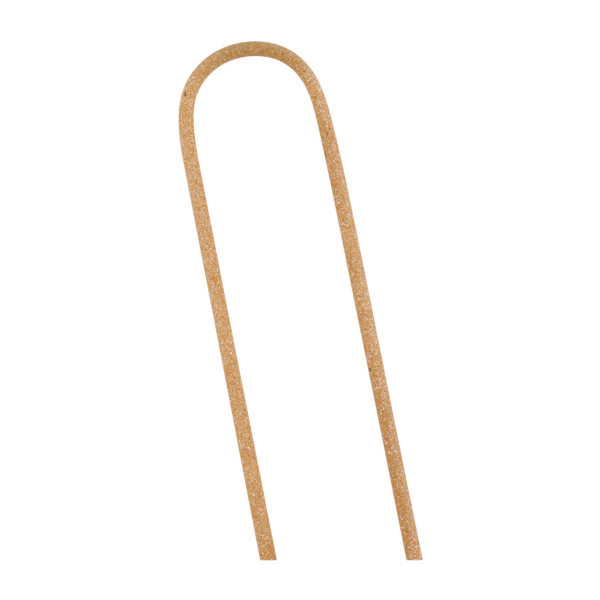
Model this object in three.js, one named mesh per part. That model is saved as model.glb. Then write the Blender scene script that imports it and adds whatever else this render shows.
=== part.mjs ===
// One strand of dried whole wheat spaghetti, as it comes off the drying rod: two nearly parallel legs joined
// by the bend that hung over the rod. It lies on its side. Millimetres, +Z up, X across the legs, Y from the
// cut ends towards the crown of the bend, and the origin under the middle of the strand.
import * as THREE from "three";

// Driving dimensions. A place along the strand is its distance from the crown, the top of the bend: negative
// down the left leg, positive down the right one.
const STRAND_HEIGHT = 2.0; // thickness of the dried strand, off the table
const LEG_SPLAY = 0.2; // degrees that each leg opens outwards
const BLADE_DEPTH = 65.8; // from the crown's centreline down to the straight cut through both legs
const BLADE_SLANT = 11.2; // degrees that the cut is off square, which leaves the right leg longer

// How tightly the centreline bends: a rounded left shoulder, an easier crown and a tighter right shoulder.
const BEND_RADII = [
  { along: -19.6, radius: Infinity },
  { along: -13.3, radius: 22 },
  { along: -9.2, radius: 8.0 },
  { along: 2.7, radius: 9.7 },
  { along: 5.7, radius: 7.1 },
  { along: 18.0, radius: 300 },
  { along: 35.0, radius: Infinity },
];

// How wide the strand itself is, seen from above. The rod has pressed the bend thinner, most of all at its
// right shoulder.
const WIDTHS = [
  { along: -68, width: 2.08 },
  { along: -36, width: 1.95 },
  { along: -16, width: 1.94 },
  { along: -10, width: 1.88 },
  { along: 3, width: 1.87 },
  { along: 10, width: 1.79 },
  { along: 24, width: 1.99 },
  { along: 38, width: 2.03 },
  { along: 57, width: 1.97 },
  { along: 72, width: 2.03 },
];

// How flat the side that faced the rod is: 0 is round, 1 is square.
const ROD_FLATS = [
  { along: -15, flat: 0 },
  { along: -9, flat: 0.3 },
  { along: 10, flat: 0.3 },
  { along: 17, flat: 0 },
];

// Fineness of the model
const SIDES = 24;
const BEND_REACH = 20; // the bend lies within this distance of the crown
const BEND_STEP = 0.6;
const LEG_STEP = 3;
const WALK_STEP = 0.02; // between the points that the centreline is worked out at
const WALK_LENGTH = 80; // past the longer leg's cut

// A value between stations, eased so that it changes smoothly.
function eased(stations, along, value) {
  const next = stations.findIndex((station) => station.along > along);
  if (next === 0) return value(stations[0]);
  if (next < 0) return value(stations[stations.length - 1]);
  const [from, to] = [stations[next - 1], stations[next]];
  const share = THREE.MathUtils.smoothstep(along, from.along, to.along);
  return THREE.MathUtils.lerp(value(from), value(to), share);
}

// Walks the centreline from the crown down one side, and returns its points, each with its heading from left
// to right. side is -1 for the left leg and 1 for the right one.
function walkSide(side) {
  const count = Math.round(WALK_LENGTH / WALK_STEP);
  const curvature = (station) => 1 / station.radius;
  const turns = [0];
  for (let i = 1; i <= count; i++) {
    const middle = side * (i - 0.5) * WALK_STEP;
    turns.push(turns[i - 1] + eased(BEND_RADII, middle, curvature) * WALK_STEP);
  }
  const wholeTurn = THREE.MathUtils.degToRad(90 - LEG_SPLAY);
  const toWholeTurn = wholeTurn / turns[count];
  const point = new THREE.Vector2(0, 0);
  const points = [];
  turns.forEach((turn, i) => {
    const heading = -side * turn * toWholeTurn;
    points.push({ along: side * i * WALK_STEP, x: point.x, y: point.y, heading });
    point.x += side * Math.cos(heading) * WALK_STEP;
    point.y += side * Math.sin(heading) * WALK_STEP;
  });
  return points;
}

const SIDE_POINTS = { left: walkSide(-1), right: walkSide(1) };

// The centreline's point and heading at a place along the strand.
function centreline(along) {
  const points = along < 0 ? SIDE_POINTS.left : SIDE_POINTS.right;
  const place = Math.min(Math.abs(along) / WALK_STEP, points.length - 1.001);
  const [from, to] = [points[Math.floor(place)], points[Math.floor(place) + 1]];
  const share = place - Math.floor(place);
  return {
    x: THREE.MathUtils.lerp(from.x, to.x, share),
    y: THREE.MathUtils.lerp(from.y, to.y, share),
    heading: THREE.MathUtils.lerp(from.heading, to.heading, share),
  };
}

// The blade's cut: a plane across both legs.
const slant = THREE.MathUtils.degToRad(BLADE_SLANT);
const BLADE = new THREE.Plane(new THREE.Vector3(Math.sin(slant), Math.cos(slant), 0), BLADE_DEPTH);

// Where the centreline of one side reaches the blade.
function endAlong(points) {
  return points.find((p) => BLADE.distanceToPoint(new THREE.Vector3(p.x, p.y, 0)) < 0).along;
}

// The places along the strand that the model has a ring of vertices at, from the left end to the right one.
function ringStations(leftEnd, rightEnd) {
  const stations = [leftEnd];
  const addSteps = (from, to, step) => {
    const count = Math.round((to - from) / step);
    for (let i = 1; i <= count; i++) stations.push(THREE.MathUtils.lerp(from, to, i / count));
  };
  addSteps(leftEnd, -BEND_REACH, LEG_STEP);
  addSteps(-BEND_REACH, BEND_REACH, BEND_STEP);
  addSteps(BEND_REACH, rightEnd, LEG_STEP);
  return stations;
}

// A point of the round section, given in radii, shaped to the strand there: outwards from the bend, and up.
function sectionPoint(along, outwards, up) {
  const flat = eased(ROD_FLATS, along, (station) => station.flat);
  const shaped = outwards < 0 ? -(Math.abs(outwards) ** (1 - flat)) : outwards;
  const width = eased(WIDTHS, along, (station) => station.width);
  return { outwards: (shaped * width) / 2, up: (up * STRAND_HEIGHT) / 2 };
}

// The strand is turned straight, as a lathe would, then each of its points is carried onto the bent
// centreline, and the points of its two ends slide along their legs onto the blade's plane.
function strandGeometry() {
  const leftEnd = endAlong(SIDE_POINTS.left);
  const rightEnd = endAlong(SIDE_POINTS.right);
  const aroundCircle = 1 / Math.cos(Math.PI / SIDES); // the flats, not the corners, are one radius out
  const outline = ringStations(leftEnd, rightEnd).map((along) => new THREE.Vector2(aroundCircle, along));
  outline.unshift(new THREE.Vector2(0, leftEnd));
  outline.push(new THREE.Vector2(0, rightEnd));
  const geometry = new THREE.LatheGeometry(outline, SIDES, Math.PI / SIDES);
  const position = geometry.getAttribute("position");
  for (let i = 0; i < position.count; i++) {
    const along = position.getY(i);
    const { x, y, heading } = centreline(along);
    const { outwards, up } = sectionPoint(along, position.getX(i), -position.getZ(i));
    const direction = new THREE.Vector3(Math.cos(heading), Math.sin(heading), 0);
    const point = new THREE.Vector3(x - direction.y * outwards, y + direction.x * outwards, up);
    const atEnd = Math.min(Math.abs(along - leftEnd), Math.abs(along - rightEnd)) < WALK_STEP / 2;
    if (atEnd) {
      point.addScaledVector(direction, -BLADE.distanceToPoint(point) / direction.dot(BLADE.normal));
    }
    position.setXYZ(i, point.x, point.y, point.z);
  }
  return geometry;
}

// The origin goes under the middle of the strand, on the table.
function standOnOrigin(geometry) {
  geometry.computeBoundingBox();
  const { min, max } = geometry.boundingBox;
  geometry.translate(-(min.x + max.x) / 2, -(min.y + max.y) / 2, -min.z);
  geometry.computeVertexNormals();
  return geometry;
}

const wholeWheatDough = new THREE.MeshStandardMaterial({
  name: "whole_wheat_dough",
  color: new THREE.Color().setRGB(0.79, 0.61, 0.43, THREE.SRGBColorSpace),
  roughness: 0.8,
  metalness: 0,
});

const strand = new THREE.Mesh(standOnOrigin(strandGeometry()), wholeWheatDough);
strand.name = "spaghetti_strand";

const spaghetti = new THREE.Group();
spaghetti.add(strand);

export default spaghetti;
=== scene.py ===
import math
from random import Random

import bpy
import numpy as np
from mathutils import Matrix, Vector


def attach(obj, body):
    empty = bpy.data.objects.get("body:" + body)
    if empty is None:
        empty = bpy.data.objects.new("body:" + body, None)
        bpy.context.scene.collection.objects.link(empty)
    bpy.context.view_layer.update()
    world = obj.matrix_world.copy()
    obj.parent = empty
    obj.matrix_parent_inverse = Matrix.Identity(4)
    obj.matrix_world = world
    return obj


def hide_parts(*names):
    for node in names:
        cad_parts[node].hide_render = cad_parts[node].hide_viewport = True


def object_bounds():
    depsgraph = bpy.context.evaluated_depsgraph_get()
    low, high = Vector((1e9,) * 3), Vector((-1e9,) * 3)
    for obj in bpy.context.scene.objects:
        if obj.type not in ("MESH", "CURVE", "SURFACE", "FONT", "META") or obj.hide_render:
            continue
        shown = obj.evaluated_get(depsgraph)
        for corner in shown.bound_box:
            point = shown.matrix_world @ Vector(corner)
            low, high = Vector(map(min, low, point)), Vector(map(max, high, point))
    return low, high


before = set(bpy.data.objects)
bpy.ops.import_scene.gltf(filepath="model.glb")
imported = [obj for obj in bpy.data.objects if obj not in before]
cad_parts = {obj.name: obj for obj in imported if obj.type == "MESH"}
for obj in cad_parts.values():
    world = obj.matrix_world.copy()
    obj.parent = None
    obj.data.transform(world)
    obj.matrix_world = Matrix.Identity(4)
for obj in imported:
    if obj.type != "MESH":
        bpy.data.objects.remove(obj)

cad_low, cad_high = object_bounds()

# ------------------------------------------------------------------------------------------------ the strand
# One strand of whole wheat dough, pressed through a round die and dried over a rod. It is modelled straight,
# as it leaves the die: a round bar that runs along X from the left leg's cut to the right leg's, with a ring
# of points every tenth of a millimetre. Y is the side that faces outwards once it is bent, and Z is up.
MM = 0.001
AROUND = 60  # points in a ring
RING_GAP = 0.1 * MM
THICKNESS = cad_high.z - cad_low.z
LEFT_LENGTH = 70.29 * MM  # from the middle of the left cut along the strand to the crown, the bend's top
RIGHT_LENGTH = 73.91 * MM  # from the crown to the middle of the right cut
LENGTH = LEFT_LENGTH + RIGHT_LENGTH

bpy.ops.object.select_all(action="DESELECT")
bpy.ops.mesh.primitive_cylinder_add(
    vertices=AROUND,
    radius=THICKNESS / 2,
    depth=LENGTH,
    end_fill_type="NGON",
    location=(LENGTH / 2, 0, 0),
    rotation=(0, math.pi / 2, 0),
)
strand = bpy.context.object
strand.name = strand.data.name = "dried_strand"
bpy.ops.object.transform_apply(location=True, rotation=True)


def select_in_edit_mode(kind, chosen):
    """Goes into edit mode with only the chosen edges or faces of the strand selected."""
    bpy.ops.object.mode_set(mode="EDIT")
    bpy.ops.mesh.select_mode(type=kind)
    bpy.ops.mesh.select_all(action="DESELECT")
    bpy.ops.object.mode_set(mode="OBJECT")
    for part in strand.data.edges if kind == "EDGE" else strand.data.polygons:
        part.select = chosen(part)
    bpy.ops.object.mode_set(mode="EDIT")


def runs_along(edge):
    first, last = (strand.data.vertices[i].co.x for i in edge.vertices)
    return abs(first - last) > RING_GAP / 2


# Subdivide makes at most 100 cuts at a time, so the bar is divided into coarse stretches and then fine ones.
COARSE_STRETCHES = 96
for stretches in (COARSE_STRETCHES, round(LENGTH / RING_GAP / COARSE_STRETCHES)):
    select_in_edit_mode("EDGE", runs_along)
    bpy.ops.mesh.subdivide(number_cuts=stretches - 1)
    bpy.ops.object.mode_set(mode="OBJECT")

# The two cuts. Both legs end in a flat cut face with a slightly worn rim. Each face is filled with rings of
# small faces, so that the broken grain of the dough can be raised on it later.
CUT_RIM = 0.025 * MM
CUT_RINGS = 9


def rims_a_cut(edge):
    ends = [strand.data.vertices[i].co.x for i in edge.vertices]
    return max(ends) < RING_GAP / 2 or min(ends) > LENGTH - RING_GAP / 2


def is_cut_face(face):
    return len(face.vertices) == AROUND


select_in_edit_mode("EDGE", rims_a_cut)
bpy.ops.mesh.bevel(offset=CUT_RIM, segments=2, affect="EDGES")
bpy.ops.object.mode_set(mode="OBJECT")
select_in_edit_mode("FACE", is_cut_face)
for _ in range(CUT_RINGS):
    bpy.ops.mesh.inset(thickness=(THICKNESS / 2 - CUT_RIM) / (CUT_RINGS + 1))
bpy.ops.mesh.poke()
bpy.ops.object.mode_set(mode="OBJECT")

# Its section. The rod has pressed the bend thinner across, most of all at its right shoulder, and a little
# flat on the side that lay on it. Each pair is a place along the strand, in millimetres from the crown and
# negative down the left leg, and the value there: a width in millimetres, or a flatness.
WIDTHS = (
    (-68, 2.08), (-36, 1.95), (-16, 1.94), (-10, 1.88), (3, 1.87),
    (10, 1.79), (24, 1.99), (38, 2.03), (57, 1.97), (72, 2.03),
)
ROD_FLATS = ((-15, 0), (-9, 0.3), (10, 0.3), (17, 0))  # 0 is round, 1 is square
SOFT_EDGES = 0.04 * MM  # the blur at the photograph's edges takes this much off the widths measured in it
FURTHER_OUT = 0.015 * MM  # the bend's radii leave the line this much inside the photograph's
SURFACE_RELIEF = 0.015 * MM  # room for the relief inside the strand's height
BLADE_SLANT = math.radians(11.2)
SLANTED_END = 4 * MM  # the last stretch of each leg, whose rings lean over to meet the blade


def smooth(share):
    """Eases a share from 0 to 1, so that it starts and ends gently."""
    return share * share * (3 - 2 * share)


def eased(stations, along):
    """The value at each place along the strand, eased between the stations."""
    places, values = np.array(stations, float).T
    after = np.clip(np.searchsorted(places, along), 1, len(places) - 1)
    share = np.clip((along - places[after - 1]) / (places[after] - places[after - 1]), 0, 1)
    return values[after - 1] + smooth(share) * (values[after] - values[after - 1])


points = np.empty(len(strand.data.vertices) * 3, np.float32)
strand.data.vertices.foreach_get("co", points)
points = points.reshape(-1, 3).astype(float)
along = (points[:, 0] - LEFT_LENGTH) / MM
outwards, up = points[:, 1] / (THICKNESS / 2), points[:, 2] / (THICKNESS / 2)
squared = -(np.abs(outwards) ** (1 - eased(ROD_FLATS, along)))
widths = eased(WIDTHS, along) * MM + SOFT_EDGES
points[:, 1] = np.where(outwards < 0, squared, outwards) * widths / 2 + FURTHER_OUT
points[:, 2] = up * (THICKNESS / 2 - SURFACE_RELIEF)
to_cut = np.minimum(points[:, 0], LENGTH - points[:, 0])
lean = smooth(1 - np.clip(to_cut / SLANTED_END, 0, 1))
points[:, 0] += math.tan(BLADE_SLANT) * points[:, 1] * lean
strand.data.vertices.foreach_set("co", points.astype(np.float32).ravel())

# The dough's patterns follow the strand round its bend, so each point keeps its place on the straight
# strand, in millimetres from the middle of the crown.
straight = (points - (LEFT_LENGTH, 0, 0)) / MM
strand.data.attributes.new("straight", "FLOAT_VECTOR", "POINT")
strand.data.attributes["straight"].data.foreach_set("vector", straight.astype(np.float32).ravel())

# The bran. Flakes of bran and a few lumps of starch lie in the dough's surface. The ones that stand out most
# are listed: millimetres along the strand from the crown, outwards from its middle, length, breadth, and a
# flake's tone, from 0 for pale orange to 1 for dark brown. The other flakes are scattered.
SEEN_BRAN = (
    (-54.4, -0.55, 0.36, 0.26, 0.3),
    (-22.9, -0.8, 0.34, 0.24, 0.55),
    (-9.3, 0.55, 0.7, 0.32, 0.9),
    (1.0, 0.7, 0.26, 0.24, 0.5),
    (4.8, -0.25, 0.34, 0.24, 0.5),
    (5.6, 0.0, 0.4, 0.28, 0.5),
    (9.1, 0.0, 0.42, 0.3, 0.4),
    (17.2, 0.45, 0.3, 0.24, 0.8),
    (17.7, -0.05, 0.44, 0.34, 0.4),
    (20.3, -0.85, 0.66, 0.28, 0.9),
    (29.2, -0.4, 0.42, 0.3, 0.45),
    (48.7, -0.8, 0.6, 0.42, 0.9),
    (70.1, -0.25, 0.36, 0.26, 0.4),
)
SEEN_STARCH = (
    (-48.7, -0.45, 0.36, 0.22),
    (-8.6, 0.65, 0.34, 0.22),
    (22.2, 0.75, 0.36, 0.24),
    (28.5, 0.45, 0.38, 0.28),
    (29.5, -0.5, 0.56, 0.24),
    (40.3, 0.0, 0.46, 0.24),
    (59.6, -0.45, 0.26, 0.34),
)
RADIUS = 1.0  # of the strand, in millimetres
SCATTERED_BRAN = 260
FLAKE_LENGTHS = (0.12, 0.36, 0.2)  # shortest, longest and most common, in millimetres
FLAKE_BREADTHS = (0.45, 0.8)  # least and greatest, as shares of the length
FLAKE_TONES = (0, 0.6, 0.1)  # palest, darkest and most common
STARCH_TONE = 1.0  # the same for every lump
random = Random(7)


def on_top(out):
    """The angle round the strand, from its outer side, of a spot that shows from above."""
    return math.acos(out / RADIUS)


flakes = [(place, on_top(out), *size_and_tone) for place, out, *size_and_tone in SEEN_BRAN]
for _ in range(SCATTERED_BRAN):
    length = random.triangular(*FLAKE_LENGTHS)
    flakes.append(
        (
            random.uniform(-LEFT_LENGTH, RIGHT_LENGTH) / MM,
            random.uniform(-math.pi, math.pi),
            length,
            length * random.uniform(*FLAKE_BREADTHS),
            random.triangular(*FLAKE_TONES),
        )
    )
starches = [(place, on_top(out), *size, STARCH_TONE) for place, out, *size in SEEN_STARCH]
around = np.arctan2(straight[:, 2], straight[:, 1])

SPOT_SLANT = 0.5  # radians that a spot turns off the strand's line, at most
ANY_BEARING = 6.3  # radians, a whole turn
BIG_LOBES, SMALL_LOBES = 0.18, 0.1  # how far a spot's three big and five small lobes stick out of it
SPOT_FADE = 0.4  # millimetres from just outside a spot to deep inside it


def spread(spots):
    """How far inside the nearest spot each point is, 0.5 on its rim, and that spot's tone."""
    depth, tone = np.zeros(len(straight)), np.zeros(len(straight))
    for place, angle, length, breadth, shade in spots:
        turn, jag = random.uniform(-SPOT_SLANT, SPOT_SLANT), random.uniform(0, ANY_BEARING)
        near = np.flatnonzero(np.abs(straight[:, 0] - place) < length)
        # Millimetres along and round the strand from the spot's middle, and then along and across the spot
        x = straight[near, 0] - place
        y = ((around[near] - angle + math.pi) % (2 * math.pi) - math.pi) * RADIUS
        x, y = x * math.cos(turn) + y * math.sin(turn), y * math.cos(turn) - x * math.sin(turn)
        bearing = np.arctan2(y / breadth, x / length)
        edge = 1 + BIG_LOBES * np.sin(3 * bearing + jag) + SMALL_LOBES * np.sin(5 * bearing - jag)
        inside = breadth / 2 - np.hypot(x * breadth / length, y) / edge
        here = np.clip(0.5 + inside / SPOT_FADE, 0, 1)
        nearer = here > depth[near]
        depth[near] = np.where(nearer, here, depth[near])
        tone[near] = np.where(nearer, shade, tone[near])
    return depth, tone


def keep_values(name, values):
    """Keeps a value at each of the strand's points, for the dough to read."""
    strand.data.attributes.new(name, "FLOAT", "POINT")
    strand.data.attributes[name].data.foreach_set("value", values.astype(np.float32))


bran, bran_tone = spread(flakes)
starch, _ = spread(starches)
keep_values("bran", bran)
keep_values("bran_tone", bran_tone)
keep_values("starch", starch)

# Its drying and sheen. The dough is darker over the crown, partly its own tone and partly painted shade,
# golden beside it, and darker and browner further down the legs. The side that faced away from the rod is
# lightened with painted sheen. Each pair is a place along the strand and how much.
CROWN_TONE_AND_SHADE = ((-10, 0), (0.5, 1), (5.5, 0.9), (12, 0.05), (16, 0))
GOLDEN = ((-22, 0), (-12, 1), (14, 1), (20, 0.5), (45, 0.5), (60, 0.2))
DARKER_DOWN_LEGS = (
    (-72, 0.75), (-58, 0.2), (-44, -0.1), (11, 0), (19.5, 0.75), (28, 0.25), (42, 0.35), (55, 0.85), (70, 1),
)
PAINTED_SHEEN = ((-48, 0), (-34, 0.2), (-14, 0.25), (-2, 0.75), (8, 0.7), (15, 0.45))
PAINTED_SHEEN_SIDE = ((-0.35, 0), (0.8, 1))  # here the places are millimetres outwards from the strand's middle
keep_values("crown_tone_and_shade", eased(CROWN_TONE_AND_SHADE, straight[:, 0]))
keep_values("golden", eased(GOLDEN, straight[:, 0]))
keep_values("darker_down_legs", eased(DARKER_DOWN_LEGS, straight[:, 0]))
keep_values("painted_sheen", eased(PAINTED_SHEEN, straight[:, 0]) * eased(PAINTED_SHEEN_SIDE, straight[:, 1]))

# Its surface. The die leaves faint lines along the strand, drying leaves it a little uneven and grainy, and
# the flakes' edges lift. The cut faces are rougher, where the dough broke behind the blade. Each is raised
# and sunk by a Displace modifier.
WEIGHT_STEPS = 10
AT_CUT = 1e-9  # metres: points nearer to a cut than this lie on it


def group_points(name, weights):
    """Makes a group of the points, with their weights rounded to tenths and those of no weight left out."""
    group = strand.vertex_groups.new(name=name)
    for step in range(1, WEIGHT_STEPS + 1):
        members = np.flatnonzero(np.round(weights * WEIGHT_STEPS) == step)
        group.add(members.tolist(), step / WEIGHT_STEPS, "REPLACE")


def raise_surface(name, grain, height, stretch=(1, 1, 1), only=""):
    """Moves the surface in and out by up to half of height, in grains of that size, stretched if need be."""
    pattern = bpy.data.textures.new(name, "CLOUDS")
    pattern.noise_scale = grain
    bpy.ops.object.empty_add(scale=stretch)
    spacing = bpy.context.object
    bpy.ops.object.select_all(action="DESELECT")
    strand.select_set(True)
    bpy.context.view_layer.objects.active = strand
    bpy.ops.object.modifier_add(type="DISPLACE")
    relief = strand.modifiers[-1]
    relief.texture = pattern
    relief.texture_coords = "OBJECT"
    relief.texture_coords_object = spacing
    relief.strength = height
    relief.vertex_group = only
    bpy.context.view_layer.update()
    bpy.ops.object.modifier_apply(modifier=relief.name)
    bpy.data.objects.remove(spacing)


group_points("flakes", np.clip(bran * 4 - 1.6, 0, 1))  # none at 0.4 deep, and all of it from 0.65
on_cut = (to_cut < AT_CUT) & (np.hypot(outwards, up) < 1 - CUT_RIM / MM)
group_points("cuts", on_cut.astype(float))
raise_surface("drying", grain=3.5 * MM, height=0.02 * MM)
raise_surface("die_lines", grain=0.16 * MM, height=0.01 * MM, stretch=(30, 1, 1))
raise_surface("grain", grain=0.22 * MM, height=0.014 * MM)
raise_surface("flake_edges", grain=0.2 * MM, height=0.03 * MM, only="flakes")
raise_surface("broken_dough", grain=0.2 * MM, height=0.08 * MM, only="cuts")

# The bend. The soft strand hung over the rod and dried in that line: a rounded left shoulder, an easier
# crown, a tighter right shoulder, and two legs that open outwards by a hair. The bar is laid along the line
# by a Curve modifier. Each pair is a place along the strand and the line's radius there, in millimetres.
BEND_RADII = (
    (-19.6, math.inf), (-13.3, 22), (-9.2, 8.0), (2.7, 9.7), (5.7, 7.1), (18.0, 300), (35.0, math.inf),
)
CURVATURES = tuple((place, 1 / radius) for place, radius in BEND_RADII)
LEG_SPLAY = math.radians(0.2)
LINE_STEP = 0.1  # millimetres


def hanging_line(side, length):
    """Points down one side of the crown. side is -1 for the left leg and 1 for the right one."""
    count = round(length / LINE_STEP)
    step = length / count
    # How far the line has turned by the middle of each step, made up to the whole turn into the leg
    curvature = eased(CURVATURES, side * (np.arange(count) + 0.5) * step)
    turn = np.cumsum(curvature) * step - curvature * step / 2
    turn *= (math.pi / 2 - LEG_SPLAY) / turn[-1]
    x = side * np.cumsum(np.cos(turn)) * step
    y = -np.cumsum(np.sin(turn)) * step
    return [(0, 0), *zip(x, y)]


crown_width = float(eased(WIDTHS, np.zeros(1))[0]) * MM
crown = Vector(
    (
        (cad_low.x + cad_high.x) / 2,
        cad_high.y - crown_width / 2,
        (cad_low.z + cad_high.z) / 2,
    )
)
left_line, right_line = hanging_line(-1, LEFT_LENGTH / MM), hanging_line(1, RIGHT_LENGTH / MM)
route = [*reversed(left_line), *right_line[1:]]
line = bpy.data.curves.new("drying_line", "CURVE")
line.dimensions = "3D"
line.twist_mode = "Z_UP"
spline = line.splines.new("POLY")
spline.points.add(len(route) - 1)
for point, (x, y) in zip(spline.points, route):
    point.co = (crown.x + x * MM, crown.y + y * MM, crown.z, 1)
drying_line = bpy.data.objects.new("drying_line", line)
bpy.context.collection.objects.link(drying_line)

bpy.ops.object.modifier_add(type="CURVE")
strand.modifiers[-1].object = drying_line
strand.modifiers[-1].deform_axis = "POS_X"
bpy.ops.object.modifier_apply(modifier=strand.modifiers[-1].name)
bpy.data.objects.remove(drying_line)
bpy.ops.object.shade_smooth()

# The dough. Dried whole wheat dough is matt: ochre and tan semolina full of fine pale dashes, partly starch
# and partly painted glints, with orange specks and flakes of bran from orange to dark brown. It is darker
# over the crown, partly its own tone and partly painted shade, golden beside it and darker and browner down
# the legs, and its outer side is lightened with painted sheen.


def shown(red, green, blue):
    """A colour from its 0 to 255 values on screen."""
    return [((c / 255 + 0.055) / 1.055) ** 2.4 for c in (red, green, blue)] + [1]


OCHRE = shown(193, 130, 35)
TAN = shown(207, 169, 123)
# The pale colour below is painted sheen, mixed into the outer side.
SHEEN_PALE = shown(214, 182, 150)
# The dash colour below is partly starch and partly painted glints.
STARCH_AND_GLINT_DASH = shown(241, 230, 226)
# The tint below darkens the crown: partly the dough's own tone, partly painted shade.
CROWN_TONE_AND_SHADE_TINT = shown(221, 213, 181)
GOLDEN_TINT = shown(255, 255, 243)
DARKER_DOWN_LEGS_TINT = shown(236, 218, 170)
BRAN_ORANGE = shown(182, 103, 20)
BRAN_BROWN = shown(70, 30, 6)
STARCH = shown(230, 208, 186)
SPECKS_SHOW = 0.6  # how strongly each shows over the dough, at most
PAINTED_SHEEN_SHOWS = 0.4
BRAN_SHOWS = 0.75
STARCH_SHOWS = 0.6
# More dashes on the outer side add to the painted sheen.
SHEEN_DASHES = 0.08  # added on the paler side to the noise that breaks the dashes up
UNEVENNESS = 0.2  # of the darkening down the legs
JAGS = 0.08  # how far the rims of the spots wander in and out
SMOOTHEST, ROUGHEST = 0.6, 0.75

dough = bpy.data.materials.new("whole_wheat_dough")
dough.use_nodes = True
dough_nodes, dough_links = dough.node_tree.nodes, dough.node_tree.links
dough_shader = dough_nodes["Principled BSDF"]


def add_node(kind, inputs, output=0, **settings):
    """Adds a node. Each input is a value or another node's output. Gives one of its own outputs."""
    node = dough_nodes.new("ShaderNode" + kind)
    for name, value in settings.items():
        setattr(node, name, value)
    for socket, value in inputs.items():
        if isinstance(value, bpy.types.NodeSocket):
            dough_links.new(value, node.inputs[socket])
        else:
            node.inputs[socket].default_value = value
    return node.outputs[output]


def kept(name):
    """The values that the strand's points keep under that name."""
    return add_node("Attribute", {}, "Fac", attribute_name=name)


def noise(scale, detail=2.0, roughness=0.5, distortion=0.0, seed=0.0):
    """Cloudy noise on the straight strand, with scale clouds to the millimetre."""
    inputs = {"Vector": turned_place, "W": seed, "Scale": scale, "Detail": detail, "Roughness": roughness}
    return add_node("TexNoise", {**inputs, "Distortion": distortion}, noise_dimensions="4D")


def ease(value, low, high, to_low=0.0, to_high=1.0):
    """Runs smoothly from to_low, where the value is low, to to_high, where it is high."""
    inputs = {0: value, 1: low, 2: high, 3: to_low, 4: to_high}
    return add_node("MapRange", inputs, interpolation_type="SMOOTHSTEP")


def mix(share, first, second, blend="MIX"):
    """Mixes a share of the second colour into the first one."""
    return add_node("Mix", {0: share, 6: first, 7: second}, 2, data_type="RGBA", blend_type=blend)


def math_of(operation, first, second=0.0):
    return add_node("Math", {0: first, 1: second}, operation=operation)


GRID_TURN = (0.6, 0.4, 0.7)  # radians that turn the noise's grid off the strand's line, to hide its rows
straight_place = add_node("Attribute", {}, "Vector", attribute_name="straight")
turned_place = add_node("Mapping", {"Vector": straight_place, "Rotation": GRID_TURN})

grain = noise(scale=9.0, distortion=0.3, seed=0.5)
colour = mix(ease(grain, 0.44, 0.56), OCHRE, TAN)
specks = ease(noise(scale=7.0, seed=3.5), 0.568, 0.614, to_high=SPECKS_SHOW)
colour = mix(specks, colour, BRAN_ORANGE)
uneven = ease(noise(scale=0.35, detail=1.0, seed=8.5), 0.35, 0.65, -UNEVENNESS, UNEVENNESS)
colour = mix(math_of("ADD", kept("darker_down_legs"), uneven), colour, DARKER_DOWN_LEGS_TINT, "MULTIPLY")
colour = mix(kept("golden"), colour, GOLDEN_TINT, "MULTIPLY")
# Painted sheen: the outer side, away from the rod, is mixed towards a pale whitish colour.
colour = mix(math_of("MULTIPLY", kept("painted_sheen"), PAINTED_SHEEN_SHOWS), colour, SHEEN_PALE)

# The pale dashes, partly starch and partly painted glints of the rough surface, are short lengths of the
# lines along which one noise passes through its middle value. Another noise breaks the lines up, less so on
# the outer side, where more dashes add to the painted sheen.
off_middle = math_of("SUBTRACT", noise(scale=4.5, roughness=0.4, distortion=0.3, seed=1.5), 0.5)
on_line = ease(math_of("ABSOLUTE", off_middle), 0.005, 0.062, 1.0, 0.0)
sheen_dashes = math_of("MULTIPLY", kept("painted_sheen"), SHEEN_DASHES)
unbroken = noise(scale=7.0, detail=1.0, roughness=0.4, seed=5.5)
unbroken = ease(math_of("ADD", unbroken, sheen_dashes), 0.53, 0.575)
colour = mix(math_of("MULTIPLY", on_line, unbroken), colour, STARCH_AND_GLINT_DASH)
# The crown is darkened, partly its own tone and partly painted shade.
colour = mix(kept("crown_tone_and_shade"), colour, CROWN_TONE_AND_SHADE_TINT, "MULTIPLY")

jagged = ease(noise(scale=9.0, seed=6.5), 0.3, 0.7, -JAGS, JAGS)
bran_depth = math_of("ADD", kept("bran"), jagged)
darkness = math_of("MULTIPLY", kept("bran_tone"), ease(bran_depth, 0.5, 0.6))
bran_colour = mix(darkness, BRAN_ORANGE, BRAN_BROWN)
colour = mix(ease(bran_depth, 0.46, 0.56, to_high=BRAN_SHOWS), colour, bran_colour)
starch_share = ease(math_of("ADD", kept("starch"), jagged), 0.44, 0.6)
colour = mix(math_of("MULTIPLY", starch_share, STARCH_SHOWS), colour, STARCH)
dough_links.new(colour, dough_shader.inputs["Base Color"])
dough_links.new(ease(grain, 0.3, 0.7, SMOOTHEST, ROUGHEST), dough_shader.inputs["Roughness"])
fine_grain = noise(scale=14.0, detail=3.0, roughness=0.6)
bump = add_node("Bump", {"Strength": 0.15, "Distance": 0.02 * MM, "Height": fine_grain})
dough_links.new(bump, dough_shader.inputs["Normal"])
dough_shader.inputs["Specular IOR Level"].default_value = 0.3
strand.data.materials.append(dough)
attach(strand, "root")
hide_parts("spaghetti_strand")

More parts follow.
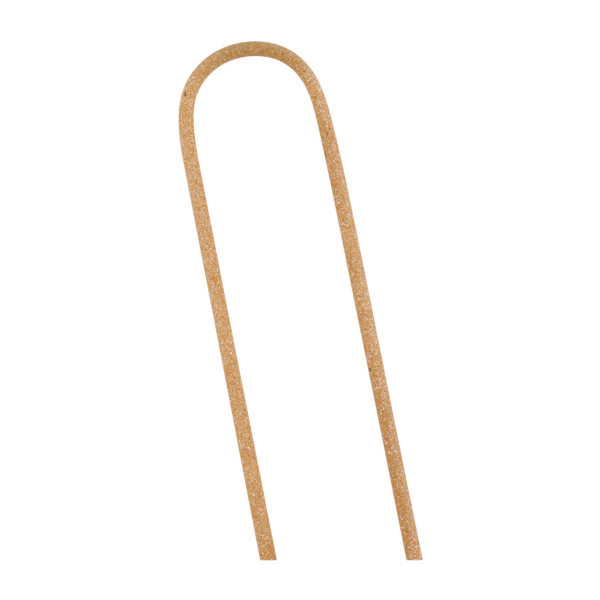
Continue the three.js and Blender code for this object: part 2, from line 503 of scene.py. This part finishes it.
# ------------------------------------------------------------------------------------------------ the studio
# A white table that glows enough to show pure white with hardly a shadow, an even white sky, and one large
# soft lamp at the upper right of the picture.
TABLE_WIDTH = 3.0
TABLE_GREY = (0.12, 0.12, 0.12, 1)  # dark, so that the strand's shadow hardly shows beside the glow
TABLE_GLOW = 0.905
WHITE = (1, 1, 1, 1)
LAMP_PLACE = (0.35, 0.2, 0.4)
LAMP_WIDTH = 0.4
LAMP_WATTS = 0.25

bpy.ops.mesh.primitive_plane_add(size=TABLE_WIDTH, location=(0, 0, cad_low.z))
table = bpy.context.object
table.name = "table"
white = bpy.data.materials.new("table_white")
white.use_nodes = True
table_shader = white.node_tree.nodes["Principled BSDF"]
table_shader.inputs["Base Color"].default_value = TABLE_GREY
table_shader.inputs["Roughness"].default_value = 0.9
table_shader.inputs["Specular IOR Level"].default_value = 0
table_shader.inputs["Emission Color"].default_value = WHITE
table_shader.inputs["Emission Strength"].default_value = TABLE_GLOW
table.data.materials.append(white)

sky = bpy.data.worlds.new("studio_sky")
sky.use_nodes = True
sky.node_tree.nodes["Background"].inputs["Color"].default_value = WHITE
sky.node_tree.nodes["Background"].inputs["Strength"].default_value = 1.0
bpy.context.scene.world = sky

bpy.ops.object.light_add(type="AREA", location=LAMP_PLACE)
lamp = bpy.context.object
lamp.name = "softbox"
lamp.data.size = LAMP_WIDTH
lamp.data.energy = LAMP_WATTS
lamp.rotation_euler = (-lamp.location).to_track_quat("-Z", "Y").to_euler()
bpy.context.scene.view_settings.view_transform = "Standard"

# ------------------------------------------------------------------------------------------------ the camera
# It looks straight down through a long lens from far off, turned so that the strand leans to the left as in
# the picture.
PIXELS_ACROSS = 600
PIXELS_PER_MM = 7.75
LEAN = math.radians(11.2)
PICTURE_MIDDLE = Vector((1.26, 0.98, 1.0)) * MM  # half-way up the strand
LENS, SENSOR = 600.0, 36.0  # millimetres
distance = PIXELS_ACROSS / PIXELS_PER_MM * MM * LENS / SENSOR
bpy.ops.object.camera_add(
    location=PICTURE_MIDDLE + Vector((0, 0, distance)),
    rotation=(0, 0, -LEAN),
)
camera = bpy.context.object
camera.data.lens = LENS
camera.data.sensor_width = SENSOR
camera.data.clip_start = 0.01
bpy.context.scene.camera = camera
